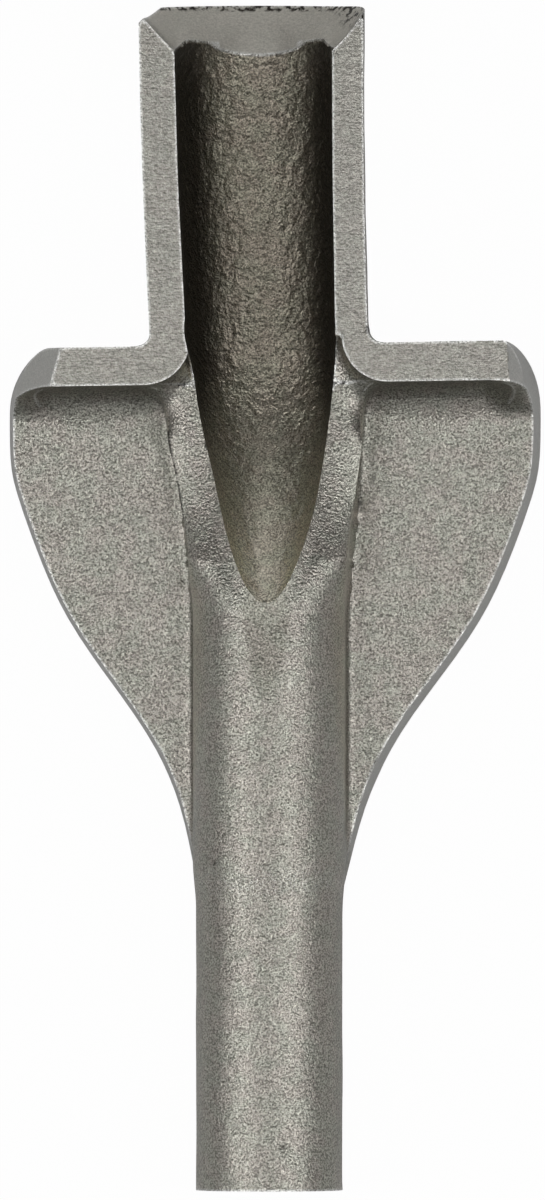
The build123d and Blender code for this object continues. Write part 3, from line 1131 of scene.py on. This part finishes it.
# %% Skin in place of the plain solid
skin.data.materials.clear()
skin.data.materials.append(steel)
skin.data.set_sharp_from_angle(angle=CREASE_ANGLE)
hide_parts("joint_chisel")
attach(skin, "root")
print("skin:", len(skin.data.polygons), "triangles")

# %% [markdown]
# ## A pale table
#
# The photograph shows the chisel on plain white. A brighter lamp would make the floor white
# but bleach the steel. So the floor is pale paint, which lights the steel from below as a
# table would, and glows nearly white to the camera alone. The Light Path node tells the
# camera's rays from those that light the steel.

# %% Floor
FLOOR_SIZE = 6
FLOOR_PAINT = (0.8, 0.8, 0.8, 1)
FLOOR_ROUGHNESS = 0.9
BACKDROP = 0.98

bpy.ops.mesh.primitive_plane_add(size=FLOOR_SIZE, location=(0, 0, cad_low.z))
floor = bpy.context.object
floor.name = "floor"
floor_paint = bpy.data.materials.new("floor_paint")
floor_paint.use_nodes = True
floor_tree = floor_paint.node_tree
paint = floor_tree.nodes["Principled BSDF"]
paint.inputs["Base Color"].default_value = FLOOR_PAINT
paint.inputs["Roughness"].default_value = FLOOR_ROUGHNESS
glow = floor_tree.nodes.new("ShaderNodeEmission")
light_path = floor_tree.nodes.new("ShaderNodeLightPath")
mix = floor_tree.nodes.new("ShaderNodeMixShader")
seen_share = value_math(floor_tree, "MULTIPLY", light_path.outputs["Is Camera Ray"], BACKDROP)
link(floor_tree, seen_share, mix.inputs["Fac"])
link(floor_tree, paint.outputs["BSDF"], mix.inputs[1])
link(floor_tree, glow.outputs[0], mix.inputs[2])
link(floor_tree, mix.outputs[0], floor_tree.nodes["Material Output"].inputs["Surface"])
floor.data.materials.append(floor_paint)
print("floor at, mm:", round(cad_low.z / MM, 2))

# %% [markdown]
# ## The room
#
# Metal shows what is round it. A picture of a studio could be wrapped round the scene, but
# two ramps are enough. A dim sky gives the dark tones between the lamps' streaks, and a
# paler band near the horizon gives upright faces something to reflect. Both are dimmer on
# the shank's side, which keeps the pockets below the shoulders dark. The camera sees the
# same near white as on the floor.

# %% Sky
SKY_BEHIND = 0.03
SKY_AHEAD = 0.043
HORIZON_BEHIND = 0.14
HORIZON_AHEAD = 0.42
SKY_TURN = (-0.4, 0.75)
HORIZON_TURN = (-0.8, 0.2)
HORIZON_FADE = (0.05, 0.3)
WHITE = (1, 1, 1, 1)

world = bpy.data.worlds.new("studio")
bpy.context.scene.world = world
world.use_nodes = True
sky = world.node_tree
background = sky.nodes["Background"]
split = sky.nodes.new("ShaderNodeSeparateXYZ")
link(sky, sky.nodes.new("ShaderNodeTexCoord").outputs["Generated"], split.inputs[0])
zenith = remap(sky, split.outputs["Y"], *SKY_TURN, SKY_BEHIND, SKY_AHEAD)
horizon = remap(sky, split.outputs["Y"], *HORIZON_TURN, HORIZON_BEHIND, HORIZON_AHEAD)
horizon_share = remap(sky, split.outputs["Z"], *HORIZON_FADE, 1, 0)
band = value_math(sky, "MULTIPLY", horizon, horizon_share)
sky_level = value_math(sky, "ADD", zenith, band)
seen = sky.nodes.new("ShaderNodeLightPath").outputs["Is Camera Ray"]
seen_level = value_math(sky, "MULTIPLY", seen, BACKDROP)
background.inputs["Color"].default_value = WHITE
link(sky, value_math(sky, "MAXIMUM", sky_level, seen_level), background.inputs["Strength"])
print("sky from", SKY_BEHIND, "to", SKY_AHEAD)

# %% [markdown]
# ## The lamps
#
# The two bright streaks along the shank are long, narrow softboxes on its left and right:
# point lamps would leave dots, and a wide lamp one broad patch. A wide one from the foot's
# side opens the shadows, and one beyond the cutting edge lights the bevel. Each lamp looks
# at the middle of the picture from its own direction.

# %% Lamps
def softbox(name, side_angle, tip_angle, distance, width, length, power):
    lamp = bpy.data.lights.new(name, "AREA")
    lamp.shape = "RECTANGLE"
    lamp.size = width
    lamp.size_y = length
    lamp.energy = power
    box = bpy.data.objects.new(name, lamp)
    bpy.context.scene.collection.objects.link(box)
    level = cos(tip_angle)
    way = Vector((sin(side_angle) * level, sin(tip_angle), cos(side_angle) * level))
    box.location = PICTURE_CENTRE + way * distance
    box.rotation_euler = (-way).to_track_quat("-Z", "Y").to_euler()
    print(name, "watts:", power)


STREAK_TILT = radians(-6)

softbox("left_softbox", radians(-35), STREAK_TILT, 1.0, width=0.14, length=1.2, power=3.45)
softbox("right_softbox", radians(36), STREAK_TILT, 1.0, width=0.15, length=1.2, power=3.45)
softbox("foot_softbox", 0, radians(-48), 1.1, width=1.0, length=0.35, power=1.0)
softbox("edge_softbox", 0, radians(66), 1.2, width=1.6, length=0.5, power=2.0)

# %% [markdown]
# ## The view, and the end
#
# The skin has to keep the solid's size; the solid's box is printed at the start. The
# Standard view shows each colour as it is written.

# %% Finish
bpy.context.scene.view_settings.view_transform = "Standard"
